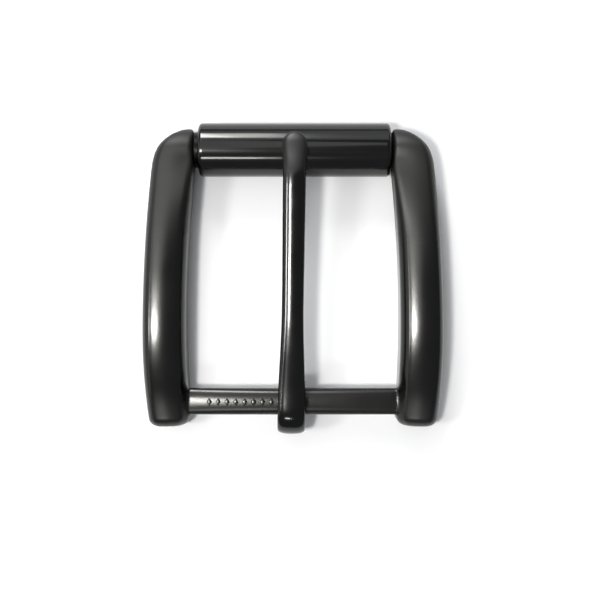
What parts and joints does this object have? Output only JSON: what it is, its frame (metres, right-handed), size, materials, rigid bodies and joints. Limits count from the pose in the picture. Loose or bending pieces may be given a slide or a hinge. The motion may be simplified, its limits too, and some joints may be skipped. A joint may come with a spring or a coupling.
{
  "type": "belt buckle",
  "caption": "Roller buckle for a dress belt: bowed rectangular frame with a cast hub bar, a turning roller across the front and a prong hooked round the hub bar.",
  "frame": {"origin": "middle of the buckle's outline, on the plane it lies on face up", "axes": "+X across the strap's width, +Y from the hub bar to the roller, +Z out of the buckle's face"},
  "size_m": [0.0572, 0.0599, 0.0134],
  "materials": {
    "frame_casting": "dark gunmetal plating on a zinc casting, semi-gloss",
    "axle_steel": "dark plated steel pin, drawn finish",
    "roller_tube": "dark gunmetal plating on a steel tube, glossy with fine lengthwise draw marks",
    "prong_metal": "dark gunmetal plating, glossy on the blade and duller at the tip"
  },
  "bodies": {
    "frame_body": {"frame": "frame_casting", "roller_axle": "axle_steel"},
    "roller_body": {"roller_sleeve": "roller_tube"},
    "prong_body": {"prong": "prong_metal"}
  },
  "joints": [
    {"name": "prong_pivot", "type": "hinge", "parent": "frame_body", "child": "prong_body", "pos_m": [0, -0.0236, 0.005], "axis": [1, 0, 0], "range_deg": [0, 170]},
    {"name": "roller_spin", "type": "hinge", "parent": "frame_body", "child": "roller_body", "pos_m": [0, 0.0248, 0.00515], "axis": [1, 0, 0], "continuous": true}
  ]
}
